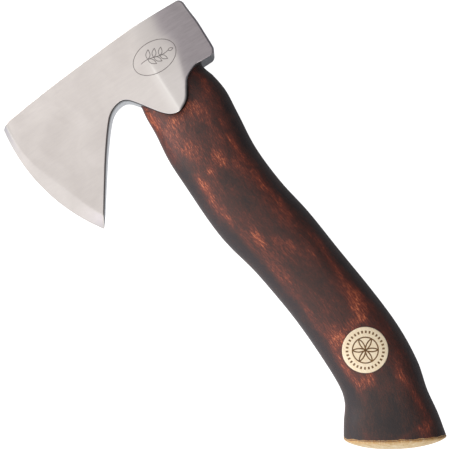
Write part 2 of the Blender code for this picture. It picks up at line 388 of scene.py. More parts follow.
upper, upper_start, top_mouth = border_points(upper_x, TOE_Y)
lower, lower_start, low_mouth = border_points(lower_x, HEEL_Y)
share = np.linspace(0, 1, ACROSS + 1)
toe_angle, heel_angle = (math.atan2(*(point - EDGE_CENTRE)[::-1]) for point in (upper[-1], lower[-1]))
turn = toe_angle + (heel_angle - toe_angle) * share
edge = EDGE_CENTRE + EDGE_RADIUS * np.stack([np.cos(turn), np.sin(turn)], 1)
poll = upper[0] + (lower[0] - upper[0]) * share[:, None]
outline = np.vstack([upper[:-1], edge[:-1], lower[:0:-1], poll[:0:-1]])
wall_start = np.concatenate([upper_start[:-1], np.zeros(ACROSS), lower_start[:0:-1], np.zeros(ACROSS)])
print("points round the head:", len(outline))

# %% The wall and its rounded arris
ARRIS, LUG_ARRIS, POLL_ARRIS = 0.5, 1.2, 0.7   # radius of the arris, and what two places add
WALL_ROWS, ARRIS_ROWS = 6, 7


def inward_normals(line):
    """Unit vectors into a closed line that runs anticlockwise: its direction turned left."""
    step = np.roll(line, -1, 0) - np.roll(line, 1, 0)
    step /= np.linalg.norm(step, axis=1, keepdims=True)
    return np.stack([-step[:, 1], step[:, 0]], 1)


inward = inward_normals(outline)
lug_side = ease((10.5 - outline[:, 1]) / 5) * ease((outline[:, 1] + 6) / 6) * (outline[:, 0] > 30)
poll_side = ease((outline[:, 1] - 24) / 3)
arris = ARRIS + LUG_ARRIS * lug_side + POLL_ARRIS * poll_side
arris = np.minimum(arris, 0.45 * half_thickness(*outline.T))
inset = outline + inward * arris[:, None]
crown = half_thickness(*inset.T)

climb = np.linspace(0, 1, WALL_ROWS, endpoint=False)[None, :]
wall_z = wall_start[:, None] + climb * ((crown - arris) - wall_start)[:, None]
roll = np.linspace(0, math.pi / 2, ARRIS_ROWS)[None, :]
roll_in = arris[:, None] * (1 - np.cos(roll))
roll_z = (crown - arris)[:, None] + arris[:, None] * np.sin(roll)
wall_in = np.concatenate([np.zeros_like(wall_z), roll_in], 1)
wall = np.concatenate([outline[:, None] + inward[:, None] * wall_in[..., None],
                       np.concatenate([wall_z, roll_z], 1)[..., None]], 2)
print(f"arris from {arris.min():.2f} to {arris.max():.2f} mm round")

# %% The cheek
last = len(upper) - 1
sides = [inset[:last + 1], inset[last:last + ACROSS + 1],
         inset[last + ACROSS:2 * last + ACROSS + 1][::-1],
         np.vstack([inset[2 * last + ACROSS:], inset[:1]])[::-1]]


def coons(top, end, bottom, begin, weight):
    """Ruled surface from top to bottom, plus the bulge of each end border, faded by a weight."""
    v = np.linspace(0, 1, len(end))[None, :, None]
    ruled = (1 - v) * top[:, None] + v * bottom[:, None]
    weight = weight[:, None, None]
    return ruled + weight * (end[None] - ruled[-1:]) + (1 - weight) * (begin[None] - ruled[:1])


fade = ease((np.arange(last + 1) - 2 * POLL_STEPS - EYE_STEPS) / BLADE_STEPS)
flat = coons(*sides, fade)
cheek = np.concatenate([flat, half_thickness(flat[..., 0], flat[..., 1])[..., None]], 2)
print("points on a cheek:", cheek.shape[0] * cheek.shape[1])

# %% The eye, and the whole head
EYE_ROWS_DEEP = 24
depth = np.linspace(0, 1, EYE_ROWS_DEEP)[:, None]
eye_x = top_mouth[0] + depth * (low_mouth[0] - top_mouth[0])
eye_y, eye_z = (np.stack(values) for values in zip(*[eye_point(x) for x in eye_x]))
eye = np.stack([eye_x, eye_y, eye_z], 2)
eye[:, [0, -1], 2] = 0
eye[0, :, 1], eye[-1, :, 1] = top_mouth[1], low_mouth[1]


def crowned(grid):
    """The poll's face isn't quite flat: its top corner leans in and its middle stands out."""
    x, y = grid[..., 0], grid[..., 1]
    bulge = 0.3 - 0.9 * ease((17 - x) / 13) - 0.25 * ease((x - 27) / 6)
    moved = grid.copy()
    moved[..., 1] += bulge * ease((y - 19) / 8)
    return moved


halves = [(crowned(wall), True), (crowned(cheek), False), (eye, False)]
head = skin("forged_head", halves + [(mirrored(grid), closed) for grid, closed in halves])

# %% [markdown]
# ## The handle
#
# The handle is the sections joined into one skin.  A little waviness, a tenth of a
# millimetre, is what a spokeshave and sandpaper leave.  The butt is closed by a low dome:
# the rim shrinks towards its middle while it rises, by rise = height (1 - scale^2)^0.7.

# %% Skin of the handle
AROUND = 160
DOME_RISE, DOME_POWER = 5.5, 0.7
angle = np.arange(AROUND + 1) * 2 * math.pi / AROUND
across_oval = power(np.cos(angle), 2 / ROUNDNESS)
up_oval = power(np.sin(angle), 2 / ROUNDNESS)

front, rear = ROWS[:, 0:2], ROWS[:, 2:4]
middle, reach = (front + rear) / 2, (rear - front) / 2
length = np.concatenate([[0], np.cumsum(np.linalg.norm(np.diff(middle, axis=0), axis=1))])
hand = 0.11 * np.sin(length / 9.0)[:, None] * np.sin(3 * angle + 1) \
    + 0.08 * np.sin(length / 5.3 + 2)[:, None] * np.sin(2 * angle)
hand *= (ease((length - 50) / 12) * ease((length[-1] - 3 - length) / 12))[:, None]
swell = 1 + hand / 20
body_xy = middle[:, None] + reach[:, None] * (across_oval * swell)[..., None]
body = np.concatenate([body_xy, (ROWS[:, 4:5] * up_oval * np.minimum(swell, 1))[..., None]], 2)

butt_along = reach[-1] / np.linalg.norm(reach[-1])
butt_out = np.array([butt_along[1], -butt_along[0]])
shrink = np.cos(np.linspace(0, math.pi / 2, 26))[1:, None]
rise = DOME_RISE * (1 - shrink**2) ** DOME_POWER
dome_xy = middle[-1] + reach[-1] * (across_oval * shrink)[..., None] + butt_out * rise[..., None]
dome = np.concatenate([dome_xy, (ROWS[-1, 4] * up_oval * shrink)[..., None]], 2)

inner = np.linspace(0, 1, 12)[:-1, None]
tenon_xy = middle[0] + reach[0] * (across_oval * inner)[..., None]
tenon = np.concatenate([tenon_xy, (ROWS[0, 4] * up_oval * inner)[..., None]], 2)
handle = skin("birch_handle", [(np.vstack([tenon, body, dome]), False)])

# %% [markdown]
# ## Seats cut into the wood
#
# The end of the tenon is sawn lengthwise for the wooden wedge, and a short second cut crosses
# it for the steel one.  Near the butt a shallow round pocket is drilled for the badge.  The
# handle's grid could be bent round such holes, but that would spoil its even rows.  A Boolean
# cut does what the saw and the drill do: it takes the shape of the tool out of the wood.

# %% Helpers: blocks, round pieces and cuts
WEDGE_TOP, WEDGE_TIP, WEDGE_DEPTH, WEDGE_WIDE = 3.4, 0.8, 25.0, 16.9
STEEL_TOP, STEEL_TIP, STEEL_DEPTH, STEEL_WIDE = 2.4, 0.8, 17.0, 6.5
BADGE_CENTRE, BADGE_RADIUS, BADGE_FLOOR = np.array([195.0, 11.5]), 11.3, 9.6
TENON_X = SECTIONS[0][0]


def block(name, stations, fullness=9.0, points=48):
    """Rounded boxes along X: superellipses of a high power, closed by a point at each end."""
    turn = np.arange(points + 1) % points * 2 * math.pi / points    # ends exactly where it began
    y = power(np.cos(turn), 2 / fullness)
    z = power(np.sin(turn), 2 / fullness)
    x, half_y, half_z = (np.array(values)[:, None] for values in zip(*stations))
    ring = np.stack([x + 0 * y, half_y * y, half_z * z], 2)
    ends = ring[[0, -1]] * np.array([1, 0, 0])
    return skin(name, [(np.vstack([ends[:1], ring, ends[1:]]), False)])


def turned(name, profile, height, points=96):
    """A round piece over the badge's middle: each (radius, row) of the profile goes once round."""
    turn = np.arange(points + 1) * 2 * math.pi / points
    radius = np.array(profile)[:, None]
    x = BADGE_CENTRE[0] + radius * np.cos(turn)
    y = BADGE_CENTRE[1] + radius * np.sin(turn)
    return skin(name, [(np.stack([x, y, height(x, y)], 2), False)])


def cut(obj, tools):
    """Cut each tool out of a piece with a Boolean, keep only the result, and sharpen its new edges."""
    for tool in tools:
        step = obj.modifiers.new(tool.name, "BOOLEAN")
        step.operation, step.object = "DIFFERENCE", tool
    bpy.context.view_layer.update()
    done = bpy.data.meshes.new_from_object(obj.evaluated_get(bpy.context.evaluated_depsgraph_get()))
    done.set_sharp_from_angle(angle=SHARP)
    obj.modifiers.clear()
    obj.data = done
    for tool in tools:
        bpy.data.objects.remove(tool)
    print(f"{obj.name} after cutting: {len(done.polygons)} faces")


print("the tenon ends at x =", TENON_X)

# %% Cut the seats of the wedges and the badge
LEFT = 0.04            # what a tight joint leaves open
OUTSIDE = TENON_X - 4  # where a cutter starts, clear of the wood
KERF_WIDE = 24.0       # the saw cut runs out on both sides of the tenon
KERF = [(OUTSIDE, KERF_WIDE, WEDGE_TOP / 2 + LEFT + 0.2),
        (TENON_X + WEDGE_DEPTH, KERF_WIDE, WEDGE_TIP / 2 + LEFT)]
STEEL_SEAT = [(OUTSIDE, STEEL_TOP / 2 + LEFT + 0.15, STEEL_WIDE + LEFT),
              (TENON_X + STEEL_DEPTH, STEEL_TIP / 2 + LEFT, STEEL_WIDE + LEFT)]


def pocket_height(x, y):
    """A level floor, and a level top well above the handle."""
    return np.array([BADGE_FLOOR - 0.1, BADGE_FLOOR - 0.1, 20, 20])[:, None] + 0 * x


pocket = turned("pocket", [0, BADGE_RADIUS + 0.07, BADGE_RADIUS + 0.07, 0], pocket_height)
cut(handle, [block("kerf", KERF, 60), block("steel_seat", STEEL_SEAT), pocket])

# %% [markdown]
# ## Wedges and badge
#
# Two wedges spread the tenon in the eye.  The wooden one fills the kerf from end to end, and
# the thin steel one is driven across it.  Only their heads show, level with the top.
#
# The badge is a plug of pale wood.  A flat disc would stand out of the oval handle at its
# middle or sink in at its sides.  It was glued in and sanded with the handle, so its face is
# the handle's own surface.  To find that surface above a point, the point is first given a
# row: the row's line must pass through it, and a few corrections get it there.

# %% Find the surface of the handle
row_number = np.arange(len(ROWS))
unit = reach / np.linalg.norm(reach, axis=1, keepdims=True)
normal = np.stack([unit[:, 1], -unit[:, 0]], 1)
spacing = np.maximum(np.sum(np.gradient(middle, axis=0) * normal, axis=1), 1e-3)


def at_row(table, row):
    """Read a table of rows between its lines."""
    if table.ndim == 1:
        return np.interp(row, row_number, table)
    return np.stack([np.interp(row, row_number, column) for column in table.T], -1)


def unbend(x, y):
    """Row of each point, its share of the half width, and how far it lies past the last row."""
    row = np.interp(x, middle[:, 0], row_number)
    for _ in range(12):
        offset = np.stack([x, y], -1) - at_row(middle, row)
        ahead = np.sum(offset * at_row(normal, row), -1)
        row = np.clip(row + ahead / at_row(spacing, row), 0, len(ROWS) - 1)
    offset = np.stack([x, y], -1) - at_row(middle, row)
    wide = np.linalg.norm(at_row(reach, row), axis=-1)
    return row, np.sum(offset * at_row(unit, row), -1) / wide, np.sum(offset * at_row(normal, row), -1)


def handle_top(x, y):
    """Height of the oval above a point: half thickness times (1 - across^n)^(1/n)."""
    row, share, _ = unbend(x, y)
    return at_row(ROWS[:, 4], row) * np.maximum(1 - np.abs(share) ** ROUNDNESS, 0) ** (1 / ROUNDNESS)


print("handle's top at the badge:", np.round(handle_top(*BADGE_CENTRE), 2), "mm above the middle")

# %% Make the wedges and the badge
PROUD = 0.12           # how far the badge stands out
wooden = block("wooden_wedge", [
    (TENON_X + WEDGE_DEPTH - 0.5, WEDGE_WIDE, WEDGE_TIP / 2), (TENON_X + 1, WEDGE_WIDE, WEDGE_TOP / 2),
    (TENON_X + 0.1, WEDGE_WIDE, WEDGE_TOP / 2), (TENON_X - 0.1, WEDGE_WIDE - 0.2, WEDGE_TOP / 2 - 0.2),
    (TENON_X - 0.12, WEDGE_WIDE / 2, WEDGE_TOP / 4)], 14)
cut(wooden, [block("steel_cut", STEEL_SEAT)])
cross = block("cross_wedge", [
    (TENON_X + STEEL_DEPTH - 0.3, STEEL_TIP / 2, STEEL_WIDE), (TENON_X + 1, STEEL_TOP / 2, STEEL_WIDE),
    (TENON_X - 0.05, STEEL_TOP / 2, STEEL_WIDE), (TENON_X - 0.25, STEEL_TOP / 2 - 0.2, STEEL_WIDE - 0.2),
    (TENON_X - 0.28, STEEL_TOP / 4, STEEL_WIDE / 2)])

RIM = 0.3              # radius of the badge's rounded rim
FACE_RINGS = 26
bend = np.linspace(0, math.pi / 2, 6)[1:]
badge_radii = np.concatenate([np.linspace(0, BADGE_RADIUS - RIM, FACE_RINGS),
                              BADGE_RADIUS - RIM * (1 - np.sin(bend)), [BADGE_RADIUS, 0]])
above = np.concatenate([np.full(FACE_RINGS, PROUD), PROUD - RIM * (1 - np.cos(bend))])


def badge_height(x, y):
    """The handle's surface plus a hair on the face, and a level underside."""
    face = handle_top(x[:-2], y[:-2]) + above[:, None]
    return np.vstack([face, np.full((2, x.shape[1]), BADGE_FLOOR)])


badge = turned("badge_plug", badge_radii, badge_height)

# %% [markdown]
# ## Fine marks
#
# The badge carries burnt lines and the cheek carries an etched oval.  Each line is a thin
# strip with a rectangular section that is carried along its path, lies on the surface under
# it, and is pinched shut at its ends.  The drawings are plain ornaments: a compass rosette in
# a ring of dashes for the badge, and a leafy sprig in an oval for the steel.
#
# Such marks could be mixed into the material under them.  Separate strips stay crisp from
# close by, and a drawing is easier to write as a path than as a pattern of nodes.

# %% Strips that lie on a surface
def strip(path, width, surface, lift, closed=False):
    """Four corners around each point of the path: half the width to each side, just over and under."""
    path = np.asarray(path, float)
    if closed:
        step = np.roll(path, -1, 0) - np.roll(path, 1, 0)
    else:
        step = np.gradient(path, axis=0)
    step /= np.linalg.norm(step, axis=1, keepdims=True)
    side = np.stack([-step[:, 1], step[:, 0]], 1) * width / 2
    left, right = path + side, path - side
    corners = [(left, lift), (right, lift), (right, -0.15), (left, -0.15), (left, lift)]
    grid = np.stack([np.column_stack([xy, surface(*xy.T) + dz]) for xy, dz in corners], 1)
    if not closed:
        ends = grid[[0, -1]].mean(1, keepdims=True).repeat(5, 1)
        grid = np.vstack([ends[:1], grid, ends[1:]])
    return grid, closed


def circle(centre, radius, start=0.0, end=360.0, points=49):
    """An arc between two angles in degrees."""
    turn = np.radians(np.linspace(start, end, points))
    return np.stack([centre[0] + radius * np.cos(turn), centre[1] + radius * np.sin(turn)], 1)


print("a quarter of a circle:", circle((0, 0), 1, 0, 90, 3).round(2).tolist())

# %% The burnt rosette
BURNT_LINE, DASHES, PETALS = 0.62, 30, 6
RING_RADIUS, PETAL_RADIUS = 8.9, 6.3
DASH_LONG, DASH_WIDE = 5.5, 1.25         # degrees, millimetres


def burnt_path(path, width=BURNT_LINE, closed=False):
    """A strip that lies on the badge."""
    return strip(path, width, handle_top, PROUD + 0.03, closed)


strips = []
for start in np.arange(DASHES) * 360 / DASHES:
    strips.append(burnt_path(circle(BADGE_CENTRE, RING_RADIUS, start, start + DASH_LONG, 7), DASH_WIDE))
for i in range(PETALS):
    turn = math.radians(i * 360 / PETALS)
    corner = BADGE_CENTRE + PETAL_RADIUS * np.array([math.cos(turn), math.sin(turn)])
    inside = circle(corner, PETAL_RADIUS, math.degrees(turn) + 120, math.degrees(turn) + 240, 33)
    strips.append(burnt_path(inside))
strips.append(burnt_path(circle(BADGE_CENTRE, PETAL_RADIUS)[:-1], closed=True))
rosette = skin("burnt_rosette", strips)

# %% The etched sprig
OVAL_CENTRE = np.array([19.5, 0.0])
OVAL_X, OVAL_Y = 7.6, 11.4
ETCHED_LINE = 0.34


def leaf(root, tip, plump, points=25):
    """There and back from root to tip, bowed sideways by sin(pi t) on each way."""
    root, tip = np.array(root, float), np.array(tip, float)
    way = tip - root
    side = np.array([-way[1], way[0]]) * plump
    t = np.linspace(0, 1, points)[:, None]
    bow = np.sin(math.pi * t) * (1 - 0.35 * t)
    return np.vstack([root + way * t + side * bow, (root + way * t - side * bow)[-2:0:-1]])


def etched(path, closed=False):
    """A fine strip that lies on the cheek."""
    return strip(path, ETCHED_LINE, half_thickness, 0.015, closed)


turn = np.linspace(0, 2 * math.pi, 97)[:-1]
oval = OVAL_CENTRE + np.stack([OVAL_X * np.cos(turn), OVAL_Y * np.sin(turn)], 1)


def on_stem(t):
    """The stem is half a wave: t runs from -1 at its foot to 1 at its top."""
    return OVAL_CENTRE + np.stack([0.9 * np.sin(2.4 * t), 7.4 * t], -1)


stem = on_stem(np.linspace(-1, 1, 33))
lines = [etched(oval, True), etched(stem)]
for place in (-0.45, -0.05, 0.35):
    root = on_stem(place)
    for side in (-1, 1):
        tip = root + np.array([side * 3.6 * (1 - 0.25 * place), 2.6])
        lines.append(etched(leaf(root, tip, 0.26), True))
top = stem[-1]
lines.append(etched(leaf(top, top + np.array([0.3, 2.6]), 0.3), True))
sprig = skin("etched_sprig", lines)

# %% [markdown]
# ## Everything rides on one body
#
# A hatchet has no moving part, so all its pieces ride on the same body.  Each new piece
# stands for one solid of the model, and that solid is hidden.  The burnt rosette
# and the etched sprig are thin skins on the badge and on the head, and stand for no solid.

# %% Bodies, solids and finishes
for piece, solid, finish in (
        (head, "axe_head", "head_steel"), (handle, "handle", "stained_birch"),
        (wooden, "eye_wedge", "wedge_wood"), (cross, "steel_wedge", "wedge_steel"),
        (badge, "badge", "badge_wood")):
    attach(piece, "root")
    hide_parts(solid)
for piece, finish in ((rosette, "badge_wood"), (sprig, "head_steel")):
    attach(piece, "root")
print("solids dressed:", len(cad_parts))

# %% [markdown]
# ## Recipes for finishes
#
# A finish is a small graph of nodes.  Noise gives clouds, and noise stretched along one
# axis gives grinding lines or wood fibres.  A ramp turns a number into a colour, a gloss or a
# height.  The same few moves come back in every finish, so they are written once, as a class
# whose methods each add a node and return its output.
#
# Pictures of steel and wood could be wrapped round the tool instead.  Noise has no seams,
# never runs out of detail, and follows the place on the tool wherever the tool goes.

# %% A graph that is easy to add to
class Graph:
    """A node tree, with one short method for each kind of node used here."""

    def __init__(self, tree):
        self.tree = tree

    def node(self, kind, **settings):
        """A node of a kind, with its own settings, not its sockets."""
        made = self.tree.nodes.new("ShaderNode" + kind)
        for name, setting in settings.items():
            setattr(made, name, setting)
        return made

    def feed(self, socket, value):
        """Link a socket to another node's output, or set it to a number or a colour."""
        if isinstance(value, bpy.types.NodeSocket):
            self.tree.links.new(value, socket)
        else:
            socket.default_value = value

    def math(self, operation, *values):
        """One sum or product of its values."""
        made = self.node("Math", operation=operation)
        for socket, value in zip(made.inputs, values):
            self.feed(socket, value)
        return made.outputs["Value"]

    def y_of(self, vector):
        """The Y part of a place or a direction."""
        apart = self.node("SeparateXYZ")
        self.feed(apart.inputs["Vector"], vector)
        return apart.outputs["Y"]

    def seen(self):
        """1 where the camera looks straight at something, 0 for light on its way."""
        return self.node("LightPath").outputs["Is Camera Ray"]

    def total(self, start, *terms):
        """The starting number plus each value times its weight."""
        for value, weight in terms:
            start = self.math("MULTIPLY_ADD", value, weight, start)
        return start

    def mix(self, share, first, second, blend="MIX"):
        """(1 - share) of the first colour plus share of the second, or first plus second for ADD."""
        made = self.node("Mix", data_type="RGBA", blend_type=blend)
        for name, value in (("Factor", share), ("A", first), ("B", second)):
            self.feed(made.inputs[name], value)
        return made.outputs["Result"]

    def ramp(self, value, *stops):
        """Straight blends between (position, colour or grey) pairs, in rising order."""
        made = self.node("ValToRGB")
        self.feed(made.inputs["Fac"], value)
        steps = made.color_ramp.elements
        while len(steps) < len(stops):
            steps.new(0.5)
        for step, (position, tone) in zip(steps, stops):
            step.position = position
            step.color = (*tone, 1) if isinstance(tone, tuple) else (tone, tone, tone, 1)
        return made.outputs["Color"]


print("moves:", ", ".join(name for name in vars(Graph) if name[0] != "_"))

# %% [markdown]
# A finish also needs a material with its shader, and a way to say *where* on the tool a
# pattern lies.  Most patterns read the place in the scene, turned into the maker's
# millimetres.  Some read a number that is stored on the points of the mesh itself.  That is
# the better way for anything tied to the shape, such as an arris or a line of stain.

# %% A finish is a graph with one shader
class Finish(Graph):
    """A material with a Principled shader, and the patterns that a maker needs."""

    def __init__(self, name, roughness, metallic=0.0):
        self.material = bpy.data.materials.new(name)
        self.material.use_nodes = True
        super().__init__(self.material.node_tree)
        self.shader = self.tree.nodes["Principled BSDF"]
        self.shader.inputs["Roughness"].default_value = roughness
        self.shader.inputs["Metallic"].default_value = metallic

    def stretched(self, source, scale, shift=(0, 0, 0)):
        """source * scale + shift, each axis by itself."""
        made = self.node("Mapping")
        for name, value in (("Vector", source), ("Scale", scale), ("Location", shift)):
            self.feed(made.inputs[name], value)
        return made.outputs["Vector"]

    def place(self, scale=(1, 1, 1)):
        """(place in the scene - origin) / MM * scale: the maker's millimetres, stretched."""
        here = self.node("TexCoord").outputs["Object"]
        return self.stretched(here, np.array(scale) / MM, -ORIGIN / MM * scale)

    def painted(self, name):
        """A number that is stored on the points of the mesh."""
        return self.node("Attribute", attribute_name=name).outputs["Fac"]

    def painted_place(self, name, scale):
        """A place that is stored on the points of the mesh, stretched."""
        return self.stretched(self.node("Attribute", attribute_name=name).outputs["Vector"], scale)

    def noise(self, place, detail=3.0, rough=0.5, warp=0.0):
        """Clouds about 1 unit of the place wide, between 0 and 1 and mostly near a half."""
        made = self.node("TexNoise")
        for name, value in (("Vector", place), ("Scale", 1.0), ("Detail", detail),
                            ("Roughness", rough), ("Distortion", warp)):
            self.feed(made.inputs[name], value)
        return made.outputs["Fac"]

    def colour(self, value):
        """Send a colour to the shader."""
        self.feed(self.shader.inputs["Base Color"], value)

    def bump(self, height, depth):
        """Relief from a height between 0 and 1; the depth is in millimetres."""
        made = self.node("Bump")
        made.inputs["Distance"].default_value = depth * MM
        self.feed(made.inputs["Height"], height)
        self.feed(self.shader.inputs["Normal"], made.outputs["Normal"])

    def wear(self, piece):
        """Put this finish on a piece, as its only one."""
        piece.data.materials.clear()
        piece.data.materials.append(self.material)
        print(f"{piece.name} wears {self.material.name}: {len(self.tree.nodes)} nodes")


# %% Numbers painted on a mesh
def points_of(piece):
    """All points of a piece, in the maker's millimetres."""
    flat = np.empty(len(piece.data.vertices) * 3, np.float32)
    piece.data.vertices.foreach_get("co", flat)
    return to_maker(flat.reshape(-1, 3))


def paint(piece, name, values):
    """Store a number, or a place, for each point of a piece."""
    values = np.asarray(values, np.float32)
    kind, field = ("FLOAT", "value") if values.ndim == 1 else ("FLOAT_VECTOR", "vector")
    layer = piece.data.attributes.new(name, kind, "POINT")
    layer.data.foreach_set(field, values.ravel())
    print(f"{name} on {piece.name}: {values.min():.2f} to {values.max():.2f}")


# %% [markdown]
# ## Ground steel
#
# The head is forged, ground and polished to a satin sheen.  Grinding lines run from the
# cutting edge to the poll, and the last, coarser belt shows on the poll.  Faint clouds are
# where the hand pressed harder.  A highlight is painted on the ridge over the lug and on the
# top arris, and a thin dark line of painted shade runs along the upper side of the beard's
# wall.  All of these have a fixed place on the forging, so they are painted on its points.
#
# - The painted highlight is 1 on the ridge, on the lug and on the top arris.
# - *depth* is how far a point lies under the cheek, in millimetres, so 0 on the cheek itself.
# - *beard* is 1 where the painted dark line may be, *poll* is 1 behind the crest, and
#   *bevel_ends* is 1 where the narrow ends of the bevel turn away from the light and are
#   painted darker.

# %% Paint the head
at = points_of(head)
below = half_thickness(at[:, 0], at[:, 1]) - np.abs(at[:, 2])    # depth under the cheek
from_edge = EDGE_RADIUS - np.linalg.norm(at[:, :2] - EDGE_CENTRE, axis=1)

on_lug = ease((at[:, 0] - 16) / 14)
# A painted highlight: a bright line on the ridge, a softer glow beside it, a lighter lug and a bright top
# arris.
ridge = np.exp(-((at[:, 1] - CREST_FRONT) / 0.55) ** 2) * on_lug
ridge += 0.45 * np.exp(-((at[:, 1] - CREST_FRONT + 1.2) / 2.4) ** 2) * on_lug
lug_sheen = 0.25 * ease((at[:, 0] - 20) / 22) * (1 - ease((np.abs(at[:, 1] + 4) - 10) / 14))
top_arris = ease(below / 0.15) * (1 - ease((below - 0.3) / 0.4)) * (at[:, 0] < 12)
paint(head, "painted_highlight", np.clip(ridge + lug_sheen + top_arris, 0, 1))
paint(head, "depth", below)
# Where the painted dark line of shade may lie: below the top of the head, away from the poll, on the upper
# side.
paint(head, "beard", (at[:, 0] > 12) * ease((14 - at[:, 1]) / 5) * ease((at[:, 2] + 1) / 2))
paint(head, "poll", ease((at[:, 1] - np.interp(at[:, 0], *CREST_REAR.T) + 3) / 7))
bevel_ends = ease((30 - at[:, 0]) / 24) + 0.5 * ease((at[:, 0] - 66) / 14)
paint(head, "bevel_ends", bevel_ends * (1 - ease((from_edge - 1.5) / 2.5)))

# %% [markdown]
# The steel starts as a satin tone with faint clouds, and every later step mixes another tone
# over it: brushing first, then the painted highlight, then the painted shade at the ends of
# the bevel, and last the walls, painted lighter and bluer as a reflection of the table, with
# the painted dark line of shade along the beard.

# %% The steel of the head
steel = Finish("ground_steel", 0.28, metallic=1.0)
clouds = steel.noise(steel.place((0.05, 0.05, 0.05)), 3, 0.55, 0.6)
lines = steel.noise(steel.place((3.2, 0.07, 3.2)), 4, 0.6)
belt = steel.noise(steel.place((0.8, 0.05, 0.8)), 2, 0.5)

satin = steel.ramp(clouds, (0.30, (0.645, 0.612, 0.592)), (0.70, (0.725, 0.694, 0.674)))
tone = steel.mix(steel.painted("poll"), satin, (0.66, 0.62, 0.635, 1))
scratches = steel.ramp(steel.total(0.0, (lines, 0.45), (belt, 0.55)), (0.40, 0.0), (0.62, 1.0))
brushed = steel.math("MULTIPLY", scratches, steel.total(0.10, (steel.painted("poll"), 0.22)))
tone = steel.mix(brushed, tone, (0.42, 0.39, 0.40, 1))
# Painted highlight on the ridge, the lug and the top arris.
tone = steel.mix(steel.painted("painted_highlight"), tone, (0.86, 0.84, 0.82, 1))
# Painted shade: the narrow ends of the bevel are darker, as they turn away from the light.
tone = steel.mix(steel.painted("bevel_ends"), tone, (0.41, 0.41, 0.40, 1))
depth = steel.math("MULTIPLY", steel.painted("depth"), 0.1)
# Painted reflection: the walls are lighter and bluer, as if they mirrored the white table.
tone = steel.mix(steel.ramp(depth, (0.04, 0.0), (0.12, 1.0)), tone, (0.58, 0.61, 0.64, 1))
# Painted shade: a dark line just under the arris of the beard's wall, in the colour and in the shine.
painted_dark_line = steel.ramp(depth, (0.02, 0.0), (0.05, 1.0), (0.18, 0.9), (0.50, 0.4), (0.9, 0.0))
painted_dark_line = steel.math("MULTIPLY", painted_dark_line, steel.painted("beard"))
steel.colour(steel.mix(painted_dark_line, tone, (0.05, 0.045, 0.042, 1)))
edge_tint = steel.mix(painted_dark_line, (1, 1, 1, 1), (0.10, 0.095, 0.09, 1))
steel.feed(steel.shader.inputs["Specular Tint"], edge_tint)    # the shine at a flat angle
steel.feed(steel.shader.inputs["Roughness"], steel.total(0.24, (clouds, 0.12)))
furrows = steel.math("MULTIPLY", lines, steel.total(0.35, (steel.painted("poll"), 1.0)))
steel.bump(steel.total(0.0, (furrows, 1.0), (belt, 0.8)), 0.006)
steel.wear(head)

# %% [markdown]
# The etched sprig is bitten into the steel by acid, so it is darker and duller than the
# polish round it.  The cross wedge was cut with a file, whose marks run across it.  Both are
# small, so one noise between two tones is enough for each.

# %% Etched line and filed wedge
def two_tone(piece, name, shine, stretch, detail, dark, light, depth=None):
    """One noise between two tones, and relief from the same noise; shine is roughness, metallic."""
    finish = Finish(name, *shine)
    grain = finish.noise(finish.place(stretch), *detail)
    finish.colour(finish.ramp(grain, (0.30, dark), (0.70, light)))
    if depth:
        finish.bump(grain, depth)
    finish.wear(piece)


two_tone(sprig, "etched_line", (0.5, 0.6), (1.5, 1.5, 1.5), (3, 0.5),
         (0.16, 0.145, 0.14), (0.26, 0.24, 0.235))
two_tone(cross, "filed_steel", (0.4, 1.0), (1, 5, 0.4), (4, 0.5),
         (0.30, 0.30, 0.31), (0.55, 0.55, 0.56), 0.02)

# %% [markdown]
# ## Stained curly birch
#
# Curly birch has wavy fibres.  A dark water stain sinks in where they come up to the surface,
# and stays thin where they lie flat.  There the wood glows red and orange, in clusters of
# short streaks.  The streaks follow the bent handle, so their noise reads the place on the
# *straightened* handle: the length along it, the distance across, and the height.
#
# Where the clusters sit is the maker's choice.  Noise alone would scatter them evenly, and
# this handle would look like any other.  So two lists give soft spots, one for the places that
# glow and one for those that stay dark: exp(-(dx / long)^2 - (dy / broad)^2) for each.

# %% Where the wood glows and where it stays dark
GLOWING = [
    # x, y, half length, half width, strength
    (39, 15, 5, 2.5, 0.7), (49, 1, 3, 4, 0.8), (54, 6, 5, 5, 0.4), (51, -8, 4, 4, 0.7), (44, -14, 4, 3, 0.5),
    (43, -17, 7, 1.5, 1.2), (57, -14, 8, 3, 0.6), (63, 11, 3, 1, 0.5), (75, 10.5, 4, 1.2, 0.9),
    (84, 11, 4, 1.5, 0.4), (69, -9, 7, 4, 0.7), (78, 1, 5, 3, 1.1), (86, 6, 5, 2.5, 0.4), (81, -6, 2, 2, 0.9),
    (85, -13, 5, 1.8, 1.0), (95, -14, 7, 2.5, 0.6), (105, -11, 5, 1.2, 0.7), (100, 12, 6, 2, 0.8),
    (116, 14, 10, 2.5, 0.35), (122, -4, 5, 2, 1.2), (119, -9, 9, 1.2, 0.5), (127, 3, 3, 3, 0.5),
    (132, 8, 4, 1.8, 0.9), (137, 21, 8, 1.2, 0.4), (142, -6, 12, 3, 0.35), (156, 20.5, 9, 1.3, 0.5),
    (173, 20, 7, 3.5, 1.1), (181, 13, 2.5, 6, 0.8), (184, 3, 5, 4, 1.1), (166, -3, 10, 1.8, 0.5),
    (196, -2, 10, 2, 1.0), (208, 4, 3.5, 5, 0.9), (185, 27, 20, 2, 0.3), (215, 20, 6, 1.8, 0.9),
    (231, 20.5, 9, 1.3, 0.7), (243, 17, 3, 4, 0.6), (241, 6, 1.5, 8, 0.5),
]
DARK = [
    (100, 2, 22, 6, 0.35), (160, 10, 16, 5, 0.3), (63, 1, 6, 3, 0.3), (40, 11, 3, 2, 0.4),
    (230, 4, 18, 13, 0.85),
]
print(len(GLOWING), "spots glow,", len(DARK), "stay dark")

# %% Paint the handle
at = points_of(handle)
row, share_across, past_end = unbend(at[:, 0], at[:, 1])
along = at_row(length, row) + past_end
across = share_across * np.linalg.norm(at_row(reach, row), axis=-1)
paint(handle, "grain", np.stack([along, across, at[:, 2]], 1))
